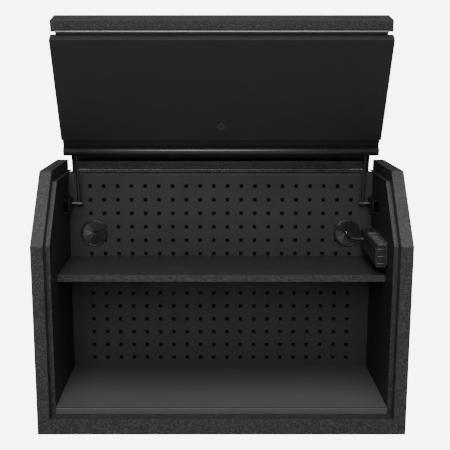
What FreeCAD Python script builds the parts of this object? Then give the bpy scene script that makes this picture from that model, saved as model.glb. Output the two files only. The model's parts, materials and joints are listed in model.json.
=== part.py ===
"""Wall-width tool hutch with a lift-up lid, a folding front door and a pegboard back.

Millimetres. +Z is up, the open front faces -Y, +X is to the right.  Pieces are drawn with
Y = 0 on the cabinet's front face and Z = 0 under its base; save() then moves them so that
the origin is the centre of the underside.  The lid and the door are drawn closed, and
open_lid() and open_door() swing them to the open rest pose.
"""
import FreeCAD
import Part
import math
import os

V = FreeCAD.Vector

# ---- cabinet -------------------------------------------------------------------------------
WIDTH = 923.0
DEPTH = 457.0
HEIGHT = 643.0
FRONT_H = HEIGHT - 163.5     # height of the upright front edge, below the slant
SLANT_Y = 170.5            # where the slant meets the flat top
FRAME_W = 31.0             # width of the frame face, which is the side's thickness
SHEET = 1.2
RAIL_H = 40.6              # height of the bottom front rail
FRONT_RECESS = 35.0        # how far the door stops lie behind the front face
LID_RECESS = 28.0          # how far the lid stops lie below the slant and the top
FLOOR_Z = 56.2
MAT_T = 1.6
MAT_GAP = 1.0
WALL_GAP = 1.8             # from the stop's free edge out to the inner wall's face
BOARD_Y = DEPTH - 66.0     # front face of the pegboard
CLEAR = 0.4                # between neighbours that do not touch
HALF = WIDTH / 2
FRAME_IN = HALF - FRAME_W
STOP_HALF = FRAME_IN - 11.0      # half the width between the free edges of the two side stops
WALL_X = STOP_HALF + WALL_GAP
REAR_Y = DEPTH - SHEET

# ---- pegboard and cable openings -----------------------------------------------------------
PEG_PITCH = 38.1
PEG_HOLE = 9.8
PEG_TOP_Z = HEIGHT - 67.0
PEG_COLS = 2 * int((WALL_X - 30) / PEG_PITCH)
PEG_ROWS = 1 + int((PEG_TOP_Z - FLOOR_Z - 20) / PEG_PITCH)
GROMMET_X = WALL_X - 67.3
GROMMET_Z = 444.0
GROMMET_R = 38.0
GROMMET_HOLE_R = 26.0
GROMMET_FLANGE_T = 3.0
GROMMET_FLAPS = 8
SLIT_W = 0.8
BACK_HOLE_R = 13.0

# ---- shelf ---------------------------------------------------------------------------------
SHELF_Z = 379.6
SHELF_Y = 137.0
SHELF_LIP_H = 17.5
SHELF_RETURN = 10.0
CLIP_LEG = 20.0
CLIP_LEN = 34.0

# ---- lid and door --------------------------------------------------------------------------
PANEL_HALF = STOP_HALF - 0.5     # half the width of the lid and of the door
PANEL_T = 28.0             # thickness of the lid and the door
SET_BACK = 2.0             # front of the closed door behind the cabinet's front face
STRIP_H = 75.0             # height of the lid's upright front strip
STEP_H = 31.0              # recessed finger step below the face
STEP_IN = 19.0             # depth of that step
HANDLE_R = 12.5            # rounded pull bar below the step
HANDLE_WALL = 2.0
CAP_T = 3.0
LID_SWING = 78.3           # degrees the lid turns from closed to open
DOOR_FOLD = 107.6          # degrees the door folds against the lid as it opens
LID_BACK_H = 25.0          # height of the lid's back wall
HINGE_UP = 9.5             # from the door hinge's axis up to the lid's flange
HINGE_DOWN = 7.5           # and down to the door's top
RETURN_H = 16.0            # upturned edge behind the lid's front flange

# ---- piano hinges --------------------------------------------------------------------------
KNUCKLE_R = 3.0
KNUCKLE = 12.5             # length of one knuckle with its gap
KNUCKLE_GAP = 0.5
PIN_R = 1.5
PIN_FIT = 0.06             # radial running fit of every pin and shaft
LEAF_T = 1.2
REAR_LEAF_W = 24.0
DOOR_LEAF_W = 18.0
REAR_HINGE_HALF = KNUCKLE * int((PANEL_HALF - 15) / KNUCKLE)
DOOR_HINGE_HALF = KNUCKLE * (int((PANEL_HALF - 12) / KNUCKLE) + 0.5)
LEAF_GAP = 1.6             # extra gap to the door hinge's pin line, so its leaves can fold
REAR_AXIS_BACK = 7.0       # from the hinge axis to the lid's back wall
HINGE_SCREW_PITCH = 115.0

# ---- gas springs ---------------------------------------------------------------------------
STRUT_X = WALL_X - 31.3
STRUT_LOW = (DEPTH - 91.0, HEIGHT - 112.0)     # lower pivot, fixed to the side wall
STRUT_LID = (DEPTH - 386.0, HEIGHT - 140.0)      # upper pivot on the lid, where it lies when closed
ROD_R = 4.0
CYL_R = 10.0
CYL_WALL = 1.5
CYL_LEN = 252.0
GUIDE_LEN = 12.0
SOCKET_R = 7.0
SOCKET_W = 13.0
STUD_R = 4.0
ROD_LEN = 236.0
PISTON_T = 8.0

# ---- lock ----------------------------------------------------------------------------------
LOCK_UP = 43.0             # above the lower edge of the door's flat face
LOCK_RING_R = 11.5
LOCK_BODY_R = 9.5
PLUG_R = 6.5
CAM_R = 18.0
CAM_PIN_AT = 14.0
CAM_PIN_R = 2.5
BAR_H = 12.0
BAR_T = 2.0
BAR_TRAVEL = 14.0

# ---- power strip ---------------------------------------------------------------------------
STRIP_Y0 = 130.0
STRIP_Y1 = BOARD_Y - 7.0
STRIP_Z0 = 401.5
STRIP_Z1 = 458.0
STRIP_T = 25.0
STRIP_X1 = WALL_X - 3.3
STRIP_X0 = STRIP_X1 - STRIP_T
OUTLETS = 5
OUTLET_PITCH = 39.5
OUTLET_R = 16.5
CORD_D = 6.6
GLAND_Y = BOARD_Y - 55.0
GLAND_Z = 437.0
GLAND_OUT = 11.0

# ---- derived -------------------------------------------------------------------------------
REAR_AXIS = (DEPTH - REAR_AXIS_BACK, HEIGHT - LID_BACK_H - KNUCKLE_R)
STRIP_Z = FRONT_H - STRIP_H
DOOR_AXIS = (SET_BACK + PANEL_T + LEAF_T - KNUCKLE_R, STRIP_Z - HINGE_UP)
DOOR_TOP = DOOR_AXIS[1] - HINGE_DOWN
RAIL_TOP = REAR_AXIS[1] - KNUCKLE_R
DOOR_FACE = DOOR_TOP - RAIL_H - 1.9 - STEP_H - 2 * HANDLE_R    # height of the flat face
BAR_Z = DOOR_TOP - DOOR_FACE + LOCK_UP
LOCK_Y = SET_BACK + PANEL_T - 13.0      # inner face of the lock's disc


# ---- small helpers -------------------------------------------------------------------------
def box(x0, x1, y0, y1, z0, z1):
    return Part.makeBox(x1 - x0, y1 - y0, z1 - z0, V(x0, y0, z0))


def cyl_x(x0, x1, y, z, r):
    return Part.makeCylinder(r, x1 - x0, V(x0, y, z), V(1, 0, 0))


def cyl_y(x, y0, y1, z, r):
    return Part.makeCylinder(r, y1 - y0, V(x, y0, z), V(0, 1, 0))


def side_face(points, x):
    """Flat face at X = x from a side-view outline of (y, z) points."""
    corners = [V(x, y, z) for y, z in points]
    return Part.Face(Part.makePolygon(corners + corners[:1]))


def prism(points, x0, x1):
    """Side-view outline carried from x0 to x1."""
    return side_face(points, x0).extrude(V(x1 - x0, 0, 0))


def offset_path(points, t):
    """Open side-view path moved t to its left, with mitred corners."""
    lines = []
    for (y0, z0), (y1, z1) in zip(points, points[1:]):
        length = math.hypot(y1 - y0, z1 - z0)
        uy, uz = (y1 - y0) / length, (z1 - z0) / length
        lines.append(((y0 - t * uz, z0 + t * uy), (uy, uz)))
    start = lines[0][0]
    out = [start]
    for (a, u), (b, w) in zip(lines, lines[1:]):
        cross = u[0] * w[1] - u[1] * w[0]
        s = ((b[0] - a[0]) * w[1] - (b[1] - a[1]) * w[0]) / cross
        out.append((a[0] + s * u[0], a[1] + s * u[1]))
    end, u = points[-1], lines[-1][1]
    out.append((end[0] - t * u[1], end[1] + t * u[0]))
    return out


def bent_sheet(points, x0, x1, t=SHEET):
    """Folded sheet: a side-view path thickened t to its left, carried from x0 to x1."""
    return prism(points + offset_path(points, t)[::-1], x0, x1)


def fuse(first, *rest):
    return first.multiFuse(list(rest)).removeSplitter() if rest else first


def mirror_x(shape):
    return shape.mirror(V(0, 0, 0), V(1, 0, 0))


def turned(shape, axis, degrees):
    """Turn about the line through the side-view point axis, along +X."""
    out = shape.copy()
    out.rotate(V(0, axis[0], axis[1]), V(1, 0, 0), degrees)
    return out


def open_lid(shape):
    return turned(shape, REAR_AXIS, -LID_SWING)


def open_door(shape):
    return open_lid(turned(shape, DOOR_AXIS, DOOR_FOLD))


def turned_point(point, axis, degrees):
    a = math.radians(degrees)
    y, z = point[0] - axis[0], point[1] - axis[1]
    return (axis[0] + y * math.cos(a) - z * math.sin(a),
            axis[1] + y * math.sin(a) + z * math.cos(a))


def save(name, shape):
    moved = shape.copy()
    moved.translate(V(0, -DEPTH / 2, 0))
    moved.exportStep("parts/" + name + ".step")
    print(name, len(moved.Solids), round(moved.Volume / 1000, 1), moved.isValid())


# ---- cabinet -------------------------------------------------------------------------------
def outline():
    """The side's outer edge from the rear top, over the slant and down the front."""
    return [(REAR_Y, HEIGHT), (SLANT_Y, HEIGHT), (0, FRONT_H), (0, 0)]


def stop_path():
    """The stops' front edge: the outline moved in by the recesses."""
    inner = offset_path(outline(), LID_RECESS)
    (ay, az), (by, bz) = inner[1], inner[2]
    slope = (bz - az) / (by - ay)
    front_z = az + slope * (FRONT_RECESS - ay)
    return [(REAR_Y, az), (ay, az), (FRONT_RECESS, front_z), (FRONT_RECESS, FLOOR_Z)]


def side_shell():
    """Right side: outer skin, frame face round the front, recess wall and the stop."""
    skin = prism(outline() + [(REAR_Y, 0)], HALF - SHEET, HALF)
    band = bent_sheet(outline() + [(REAR_Y, 0)], FRAME_IN, HALF)
    stop = stop_path()
    stop_down = stop[:-1] + [(FRONT_RECESS, 0)]
    recess = prism(outline() + stop_down[::-1], FRAME_IN, FRAME_IN + SHEET)
    lip = bent_sheet(stop, STOP_HALF, FRAME_IN + SHEET)
    keeper = box(FRAME_IN - 1, FRAME_IN + SHEET + 1, LOCK_Y - 2, LOCK_Y + 11,
                 BAR_Z - BAR_H, BAR_Z + BAR_H)
    return fuse(skin, band, recess, lip).cut(keeper)


def inner_wall():
    """Right liner panel, from behind the stop back to the rear rail."""
    behind = offset_path(stop_path(), SHEET)
    behind[0] = (REAR_AXIS[0] - REAR_LEAF_W, behind[0][1])
    return prism(behind + [(behind[0][0], FLOOR_Z)], WALL_X, WALL_X + SHEET)


def floor_pan():
    path = [(REAR_Y, 0), (0, 0), (0, RAIL_H), (FRONT_RECESS, RAIL_H),
            (FRONT_RECESS, FLOOR_Z), (BOARD_Y, FLOOR_Z)]
    return bent_sheet(path, -FRAME_IN, FRAME_IN, -SHEET)


def floor_mat():
    edge = WALL_X - MAT_GAP
    return box(-edge, edge, FRONT_RECESS + SHEET + CLEAR, BOARD_Y - MAT_GAP, FLOOR_Z, FLOOR_Z + MAT_T)


def back_panel():
    top = RAIL_TOP - 6
    plate = box(-(HALF), HALF, REAR_Y, DEPTH, 0, top)
    for x in (-GROMMET_X, GROMMET_X):
        plate = plate.cut(cyl_y(x, REAR_Y - 1, DEPTH + 1, GROMMET_Z, BACK_HOLE_R))
    ear = box(FRAME_IN, HALF, REAR_Y, DEPTH, top, HEIGHT)
    return fuse(plate, ear, mirror_x(ear))


def rear_rail():
    """Folded rail that carries the lid's hinge and hooks over the pegboard's top."""
    back = REAR_AXIS[0] - 1.0
    path = [(REAR_Y, RAIL_TOP - 34), (REAR_Y, RAIL_TOP - 19), (back, RAIL_TOP - 19),
            (back, RAIL_TOP), (BOARD_Y - SHEET, RAIL_TOP), (BOARD_Y - SHEET, RAIL_TOP - 8)]
    return bent_sheet(path, -WALL_X, WALL_X)


def pegboard():
    """Perforated plate: square holes on a grid, left out where a grommet sits."""
    z0, z1 = FLOOR_Z, RAIL_TOP - SHEET
    half = PEG_HOLE / 2

    def ring(x0, x1, za, zb):
        pts = [V(x0, BOARD_Y, za), V(x1, BOARD_Y, za), V(x1, BOARD_Y, zb), V(x0, BOARD_Y, zb)]
        return Part.makePolygon(pts + pts[:1])

    wires = [ring(-WALL_X, WALL_X, z0, z1)]
    reach = GROMMET_HOLE_R + half * math.sqrt(2) + 1
    for col in range(PEG_COLS):
        x = (col - (PEG_COLS - 1) / 2) * PEG_PITCH
        for row in range(PEG_ROWS):
            z = PEG_TOP_Z - row * PEG_PITCH
            if math.hypot(abs(x) - GROMMET_X, z - GROMMET_Z) > reach:
                wires.append(ring(x - half, x + half, z - half, z + half))
    for x in (-GROMMET_X, GROMMET_X):
        circle = Part.makeCircle(GROMMET_HOLE_R, V(x, BOARD_Y, GROMMET_Z), V(0, 1, 0))
        wires.append(Part.Wire([circle]))
    return Part.makeFace(wires, "Part::FaceMakerBullseye").extrude(V(0, SHEET, 0))


def grommet(cord_x):
    """Right cable grommet: flange, neck and a split diaphragm; cord_x is where a cord passes."""
    x, z = GROMMET_X, GROMMET_Z
    flange = cyl_y(x, BOARD_Y - GROMMET_FLANGE_T, BOARD_Y, z, GROMMET_R)
    neck = cyl_y(x, BOARD_Y, BOARD_Y + 6, z, GROMMET_HOLE_R - 0.2)
    bore_r = GROMMET_HOLE_R - 2.2
    body = fuse(flange, neck).cut(cyl_y(x, BOARD_Y - 1.2, BOARD_Y + 7, z, bore_r))
    dish = cyl_y(x, BOARD_Y - 4, BOARD_Y - GROMMET_FLANGE_T + 0.8, z, GROMMET_R - 4)
    body = body.cut(dish)
    for k in range(GROMMET_FLAPS // 2):
        slit = box(x - bore_r, x + bore_r, BOARD_Y - 4, BOARD_Y, z - SLIT_W / 2, z + SLIT_W / 2)
        slit.rotate(V(x, BOARD_Y, z), V(0, 1, 0), 22.5 + k * 360 / GROMMET_FLAPS)
        body = body.cut(slit)
    r = CORD_D / 2 + 0.4
    middle = cyl_y(x, BOARD_Y - 5, BOARD_Y + 1, z, r)
    pushed = box(min(x, cord_x), max(x, cord_x) + 0.01, BOARD_Y - 5, BOARD_Y + 1, z - r, z + r)
    return body.cut(middle).cut(pushed).cut(cyl_y(cord_x, BOARD_Y - 5, BOARD_Y + 1, z, r))


def shelf():
    back = BOARD_Y - CLEAR
    path = [(back, SHELF_Z - SHELF_LIP_H), (back, SHELF_Z), (SHELF_Y, SHELF_Z),
            (SHELF_Y, SHELF_Z - SHELF_LIP_H), (SHELF_Y + SHELF_RETURN, SHELF_Z - SHELF_LIP_H)]
    return bent_sheet(path, -WALL_X + CLEAR, WALL_X - CLEAR)


def shelf_clips():
    """Angle clips on the side walls that the shelf is riveted to."""
    clips = []
    under = SHELF_Z - SHEET
    for y in (SHELF_Y + 2 * SHELF_RETURN, BOARD_Y - 2 * SHELF_RETURN - CLIP_LEN):
        wall = box(WALL_X - SHEET, WALL_X, y, y + CLIP_LEN, under - CLIP_LEG, under)
        ledge = box(WALL_X - CLIP_LEG, WALL_X, y, y + CLIP_LEN, under - SHEET, under)
        clips.append(fuse(wall, ledge))
    return Part.makeCompound(clips + [mirror_x(c) for c in clips])


# ---- piano hinges --------------------------------------------------------------------------
def hinge_leaf(axis, half, leaf_w, side, first, gap=0.0):
    """Leaf reaching towards -Y from axis; side -1 lies under the axis and +1 over it."""
    ay, az = axis
    inner, outer = az + side * (KNUCKLE_R - LEAF_T), az + side * KNUCKLE_R
    low, high = min(inner, outer), max(inner, outer)
    edge = ay - KNUCKLE_R - CLEAR - gap
    plate = box(-half, half, ay - leaf_w, edge, low, high)
    length = KNUCKLE - KNUCKLE_GAP
    tube = cyl_x(0, length, ay, az, KNUCKLE_R)
    tongue = box(0, length, edge, ay, low, high)
    knuckle = tube.fuse(tongue).cut(cyl_x(-1, length + 1, ay, az, PIN_R + PIN_FIT))
    knuckle = knuckle.removeSplitter()
    pieces = []
    for k in range(first, int(round(2 * half / KNUCKLE)), 2):
        copy = knuckle.copy()
        copy.translate(V(-half + k * KNUCKLE + KNUCKLE_GAP / 2, 0, 0))
        pieces.append(copy)
    return plate.multiFuse(pieces)


def hinge_pin(axis, half):
    return cyl_x(-half, half, axis[0], axis[1], PIN_R)


def rear_hinge_screws():
    """Pan heads that hold the fixed leaf to the rear rail."""
    screws = []
    z = RAIL_TOP + LEAF_T
    y = REAR_AXIS[0] - REAR_LEAF_W / 2 - 3
    for k in range(-3, 4):
        head = Part.makeCone(3.6, 2.4, 1.5, V(k * HINGE_SCREW_PITCH, y, z), V(0, 0, 1))
        screws.append(head)
    return Part.makeCompound(screws)


# ---- lid -----------------------------------------------------------------------------------
def lid_outline():
    """Lid's outer side-view path, closed: back wall, top, slant, front strip."""
    back = DEPTH
    return [(back, HEIGHT - LID_BACK_H), (back, HEIGHT), (SLANT_Y, HEIGHT),
            (SET_BACK, FRONT_H + SET_BACK * (HEIGHT - FRONT_H) / SLANT_Y),
            (SET_BACK, STRIP_Z), (SET_BACK + PANEL_T, STRIP_Z),
            (SET_BACK + PANEL_T, STRIP_Z + RETURN_H)]


def lid_shell():
    """Pan-shaped lid: skin, side flanges and the rear hinge flange."""
    path = lid_outline()
    rear_return = (REAR_AXIS[0] - REAR_LEAF_W, HEIGHT - LID_BACK_H)
    skin = bent_sheet([rear_return] + path, -PANEL_HALF, PANEL_HALF)
    lower = offset_path(path[1:5], LID_BACK_H)
    side = path[1:5] + [(SET_BACK + PANEL_T, STRIP_Z)]
    side += [(SET_BACK + PANEL_T, lower[2][1])] + [lower[1], (DEPTH, HEIGHT - LID_BACK_H)]
    flange = prism(side, PANEL_HALF - SHEET, PANEL_HALF)
    return fuse(skin, flange, mirror_x(flange))


def lid_stiffener():
    """Hat channel under the flat top."""
    y0, y1 = SLANT_Y + 60, SLANT_Y + 150
    top = HEIGHT - SHEET
    path = [(y1, top), (y1 - 18, top), (y1 - 26, top - 16), (y0 + 26, top - 16), (y0 + 18, top),
            (y0, top)]
    low = offset_path(path, SHEET)
    return prism(path + low[::-1], -PANEL_HALF + 50, PANEL_HALF - 50)


def lid_badge(x0, x1):
    """Blank name plate on the lid's front strip, with clipped corners."""
    z0, z1 = FRONT_H - 44, FRONT_H - 6
    c = 5.0
    pts = [(x0 + c, z0), (x1 - c, z0), (x1, z0 + c), (x1, z1 - c), (x1 - c, z1), (x0 + c, z1),
           (x0, z1 - c), (x0, z0 + c)]
    corners = [V(x, SET_BACK - 1.0, z) for x, z in pts]
    return Part.Face(Part.makePolygon(corners + corners[:1])).extrude(V(0, 1.0, 0))


def lid_strut_bracket():
    """Right plate on the lid's side flange, with a short stud for the gas spring."""
    y, z = STRUT_LID
    x1 = PANEL_HALF - SHEET
    k = 1 / math.sqrt(2)
    pts = [(y + k * (a + b), z + k * (a - b))
           for a, b in ((-24, -24), (24, -24), (24, 0), (9, 10), (-9, 10), (-24, 0))]
    plate = prism(pts, x1 - 2.5, x1)
    stud = cyl_x(STRUT_X + SOCKET_W / 2 + 1.5, x1 - 2.5, y, z, STUD_R)
    collar = cyl_x(x1 - 8.5, x1 - 2.5, y, z, STUD_R + 2.5)
    return fuse(plate, stud, collar)


# ---- door ----------------------------------------------------------------------------------
def door_point(drop, depth):
    """Side-view point of the closed door, from its top edge down and its face inwards."""
    return (SET_BACK + depth, DOOR_TOP - drop)


def door_shell():
    """Outer skin with its top flange, the finger step, and both side flanges."""
    step_end = DOOR_FACE + STEP_H
    path = [door_point(0, PANEL_T), door_point(0, 0), door_point(DOOR_FACE, 0),
            door_point(DOOR_FACE + 8, STEP_IN), door_point(step_end, STEP_IN)]
    skin = bent_sheet(path, -PANEL_HALF, PANEL_HALF)
    side = path[1:] + [door_point(step_end, PANEL_T - SHEET), door_point(0, PANEL_T - SHEET)]
    flange = prism(side, PANEL_HALF - SHEET, PANEL_HALF)
    slot = box(PANEL_HALF - SHEET - 1, PANEL_HALF + 1, LOCK_Y + 1, LOCK_Y + 8.5,
               BAR_Z - BAR_H / 2 - 0.8, BAR_Z + BAR_H / 2 + 0.8)
    flange = flange.cut(slot)
    hole = cyl_y(0, SET_BACK - 1, SET_BACK + SHEET + 1, BAR_Z, LOCK_BODY_R + 0.1)
    return fuse(skin, flange, mirror_x(flange)).cut(hole)


def door_inner_panel():
    low = DOOR_TOP - DOOR_FACE - STEP_H
    back = SET_BACK + PANEL_T
    return box(-PANEL_HALF, PANEL_HALF, back - SHEET, back, low, DOOR_TOP - SHEET)


def door_handle():
    """Hollow rounded pull bar along the door's lower edge."""
    y = SET_BACK + HANDLE_R + 1.0
    z = DOOR_TOP - DOOR_FACE - STEP_H - HANDLE_R
    reach = PANEL_HALF - CAP_T
    back = SET_BACK + PANEL_T
    outer = fuse(cyl_x(-reach, reach, y, z, HANDLE_R),
                 box(-reach, reach, y, back, z - HANDLE_R, z + HANDLE_R))
    inner = fuse(cyl_x(-reach - 1, reach + 1, y, z, HANDLE_R - HANDLE_WALL),
                 box(-reach - 1, reach + 1, y, back - HANDLE_WALL,
                     z - HANDLE_R + HANDLE_WALL, z + HANDLE_R - HANDLE_WALL))
    return outer.cut(inner)


def handle_end_cap():
    """Right end cap of the pull bar."""
    y = SET_BACK + HANDLE_R + 1.0
    z = DOOR_TOP - DOOR_FACE - STEP_H - HANDLE_R
    back = SET_BACK + PANEL_T
    x0 = PANEL_HALF - CAP_T
    face = fuse(cyl_x(x0, PANEL_HALF, y, z, HANDLE_R),
                box(x0, PANEL_HALF, y, back, z - HANDLE_R, z + HANDLE_R))
    plug_r = HANDLE_R - HANDLE_WALL - 0.2
    stub = cyl_x(x0 - 8, x0, y, z, plug_r)
    return fuse(face, stub)


# ---- lock ----------------------------------------------------------------------------------
def lock_body():
    ring = cyl_y(0, SET_BACK - 2.0, SET_BACK, BAR_Z, LOCK_RING_R)
    barrel = cyl_y(0, SET_BACK, LOCK_Y - 3, BAR_Z, LOCK_BODY_R)
    return fuse(ring, barrel).cut(cyl_y(0, SET_BACK - 3, LOCK_Y - 2, BAR_Z, PLUG_R + PIN_FIT))


def lock_plug():
    plug = cyl_y(0, SET_BACK - 2.4, LOCK_Y - 2, BAR_Z, PLUG_R)
    return plug.cut(box(-0.8, 0.8, SET_BACK - 3, SET_BACK + 9, BAR_Z - 4.2, BAR_Z + 4.2))


def lock_cam():
    """Disc on the plug's inner end, with one pin for each locking bar."""
    disc = cyl_y(0, LOCK_Y - 2, LOCK_Y, BAR_Z, CAM_R)
    high = cyl_y(0, LOCK_Y, LOCK_Y + 3.4, BAR_Z + CAM_PIN_AT, CAM_PIN_R)
    low = cyl_y(0, LOCK_Y, LOCK_Y + 7.4, BAR_Z - CAM_PIN_AT, CAM_PIN_R)
    return fuse(disc, high, low)


def lock_bar(side):
    """Flat bar from the cam to the door's edge; side +1 is the right-hand bar."""
    depth = LOCK_Y + (5.5 if side > 0 else 1.5)
    end = PANEL_HALF - CLEAR
    slack = CAM_PIN_R + 0.5
    lag = BAR_TRAVEL * 0.22
    bar = box(12, end, depth, depth + BAR_T, BAR_Z - BAR_H / 2, BAR_Z + BAR_H / 2)
    head = box(-slack - 4, 12, depth, depth + BAR_T, BAR_Z - CAM_PIN_AT - 8, BAR_Z + BAR_H / 2)
    slot = box(-slack, slack + lag, depth - 1, depth + BAR_T + 1,
               BAR_Z - CAM_PIN_AT - slack, BAR_Z + slack)
    right = fuse(bar, head).cut(slot)
    return right if side > 0 else turned_about_lock(right, depth)


def turned_about_lock(shape, depth):
    out = shape.copy()
    out.rotate(V(0, depth, BAR_Z), V(0, 1, 0), 180)
    return out


# ---- gas springs ---------------------------------------------------------------------------
def strut_ends():
    """Lower pivot, open upper pivot and closed upper pivot, in the side view."""
    return STRUT_LOW, turned_point(STRUT_LID, REAR_AXIS, -LID_SWING), STRUT_LID


def strut_numbers():
    low, top, shut = strut_ends()
    open_len = math.hypot(top[0] - low[0], top[1] - low[1])
    shut_len = math.hypot(shut[0] - low[0], shut[1] - low[1])
    open_dir = math.degrees(math.atan2(top[1] - low[1], top[0] - low[0]))
    shut_dir = math.degrees(math.atan2(shut[1] - low[1], shut[0] - low[0])) % 360
    return open_len, shut_len, open_dir, shut_dir


def along_strut(shape):
    """Place a piece drawn along +Z from the lower pivot at the origin."""
    open_dir = strut_numbers()[2]
    out = shape.copy()
    out.rotate(V(0, 0, 0), V(1, 0, 0), open_dir - 90)
    out.translate(V(STRUT_X, STRUT_LOW[0], STRUT_LOW[1]))
    return out


def strut_socket(z):
    half = SOCKET_W / 2
    return cyl_x(-half, half, 0, z, SOCKET_R).cut(cyl_x(-half - 1, half + 1, 0, z,
                                                        STUD_R + PIN_FIT))


def strut_rod():
    """Piston rod with its lower end fitting and the piston."""
    neck = Part.makeCylinder(5.5, 14, V(0, 0, 5.5), V(0, 0, 1))
    rod = Part.makeCylinder(ROD_R, ROD_LEN - 12, V(0, 0, 12), V(0, 0, 1))
    piston = Part.makeCylinder(CYL_R - CYL_WALL - 0.08, PISTON_T, V(0, 0, ROD_LEN - PISTON_T),
                               V(0, 0, 1))
    bore = cyl_x(-SOCKET_W, SOCKET_W, 0, 0, STUD_R + PIN_FIT)
    return along_strut(fuse(strut_socket(0), neck, rod, piston).cut(bore))


def strut_cylinder():
    """Pressure tube with its rod guide and upper end fitting."""
    length = strut_numbers()[0]
    top = length - 14
    low = top - CYL_LEN
    tube = Part.makeCylinder(CYL_R, CYL_LEN, V(0, 0, low), V(0, 0, 1))
    bore = Part.makeCylinder(CYL_R - CYL_WALL, CYL_LEN - GUIDE_LEN - 4, V(0, 0, low + GUIDE_LEN),
                             V(0, 0, 1))
    guide = Part.makeCylinder(ROD_R + PIN_FIT, GUIDE_LEN + 2, V(0, 0, low - 1), V(0, 0, 1))
    neck = Part.makeCylinder(5.5, 9, V(0, 0, top - 0.5), V(0, 0, 1))
    end = strut_socket(length)
    hole = cyl_x(-SOCKET_W, SOCKET_W, 0, length, STUD_R + PIN_FIT)
    return along_strut(fuse(tube.cut(bore).cut(guide), neck, end).cut(hole))


def wall_bracket():
    """Right hat bracket on the side wall, with the stud for the spring's lower end."""
    y, z = STRUT_LOW
    t = 1.5
    y0, y1 = y - 66, BOARD_Y - 1
    web_x = WALL_X - 12
    half = 16.0
    tab = 8.0
    web = box(web_x, web_x + t, y0, y1, z - half, z + half)
    arm = box(web_x, WALL_X, y0, y1, z + half - t, z + half)
    foot = box(WALL_X - t, WALL_X, y0, y1, z + half - t, z + half + tab)
    low_arm = box(web_x, WALL_X, y0, y1, z - half, z - half + t)
    low_foot = box(WALL_X - t, WALL_X, y0, y1, z - half - tab, z - half + t)
    return fuse(web, arm, foot, low_arm, low_foot)


def ball_stud():
    """Right stud from the wall bracket through the lower end fitting."""
    y, z = STRUT_LOW
    web_x = WALL_X - 12
    pin = cyl_x(STRUT_X - SOCKET_W / 2 - 1.5, web_x, y, z, STUD_R)
    collar = cyl_x(STRUT_X + SOCKET_W / 2 + CLEAR, web_x, y, z, STUD_R + 1.2)
    head = cyl_x(STRUT_X - SOCKET_W / 2 - 3.0, STRUT_X - SOCKET_W / 2 - 0.5, y, z, STUD_R + 1.5)
    return fuse(pin, collar, head)


# ---- power strip ---------------------------------------------------------------------------
def outlet_ys():
    middle = (STRIP_Y0 + 6 + GLAND_Y - 8) / 2
    return [middle + (k - (OUTLETS - 1) / 2) * OUTLET_PITCH for k in range(OUTLETS)]


def strip_plate():
    """Mounting plate between the power strip and the side wall."""
    return box(STRIP_X1, WALL_X, STRIP_Y0 + 4, STRIP_Y1, STRIP_Z0 + 4, STRIP_Z1 + 8)


def strip_housing():
    """Extruded case with round edges and a pocket for each outlet, button and gland."""
    y0, y1 = STRIP_Y0 + 6, STRIP_Y1 - 6
    case = box(STRIP_X0, STRIP_X1, y0, y1, STRIP_Z0, STRIP_Z1)
    edges = [e for e in case.Edges if abs(e.BoundBox.YLength - (y1 - y0)) < 0.1
             and e.BoundBox.XMin < STRIP_X0 + 0.1]
    case = case.makeFillet(4.0, edges)
    hollow = box(STRIP_X0 + 2.5, STRIP_X1 - 2.5, y0 - 1, y1 + 1, STRIP_Z0 + 2.5, STRIP_Z1 - 2.5)
    case = case.cut(hollow)
    z = (STRIP_Z0 + STRIP_Z1) / 2
    for y in outlet_ys():
        case = case.cut(cyl_x(STRIP_X0 - 1, STRIP_X0 + 5, y, z, OUTLET_R + 0.1))
    case = case.cut(cyl_x(STRIP_X0 - 1, STRIP_X0 + 5, GLAND_Y + 24, z, 5.0 + 0.1))
    return case.cut(cyl_x(STRIP_X0 - 1, STRIP_X0 + 5, GLAND_Y, GLAND_Z, 6.1))


def strip_cap(front):
    """Moulded end cap; front is the one nearest the door."""
    if front:
        y0, y1 = STRIP_Y0, STRIP_Y0 + 6
    else:
        y0, y1 = STRIP_Y1 - 6, STRIP_Y1
    cap = box(STRIP_X0, STRIP_X1, y0, y1, STRIP_Z0, STRIP_Z1)
    edges = [e for e in cap.Edges if abs(e.BoundBox.YLength - 6) < 0.1
             and e.BoundBox.XMin < STRIP_X0 + 0.1]
    cap = cap.makeFillet(4.0, edges)
    if not front:
        return cap
    for z in (STRIP_Z0 + 19, STRIP_Z0 + 37):
        cap = cap.cut(box(STRIP_X0 + 3, STRIP_X1 - 3, y0 - 1, y0 + 1.2, z - 1, z + 1))
    return cap


def outlets():
    """Five socket inserts, each with two blade slots and a round earth hole."""
    z = (STRIP_Z0 + STRIP_Z1) / 2
    pieces = []
    for y in outlet_ys():
        face = cyl_x(STRIP_X0 - 0.6, STRIP_X0 + 2.5, y, z, OUTLET_R)
        for dy in (-6.35, 6.35):
            face = face.cut(box(STRIP_X0 - 1, STRIP_X0 + 1.6, y + dy - 0.9, y + dy + 0.9,
                                z - 1, z + 7))
        face = face.cut(cyl_x(STRIP_X0 - 1, STRIP_X0 + 1.6, y, z - 8, 2.4))
        pieces.append(face)
    return Part.makeCompound(pieces)


def strip_clips():
    """Steel clips that hook the strip's top edge to its plate, one over each outlet."""
    pieces = []
    for y in outlet_ys():
        strap = box(STRIP_X0 + 4, STRIP_X1, y - 21, y - 16, STRIP_Z1, STRIP_Z1 + 2.0)
        rib = box(STRIP_X0 + 4, STRIP_X1, y - 19.5, y - 17.5, STRIP_Z1 + 2.0, STRIP_Z1 + 6.5)
        pieces.append(fuse(strap, rib))
    return Part.makeCompound(pieces)


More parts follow.
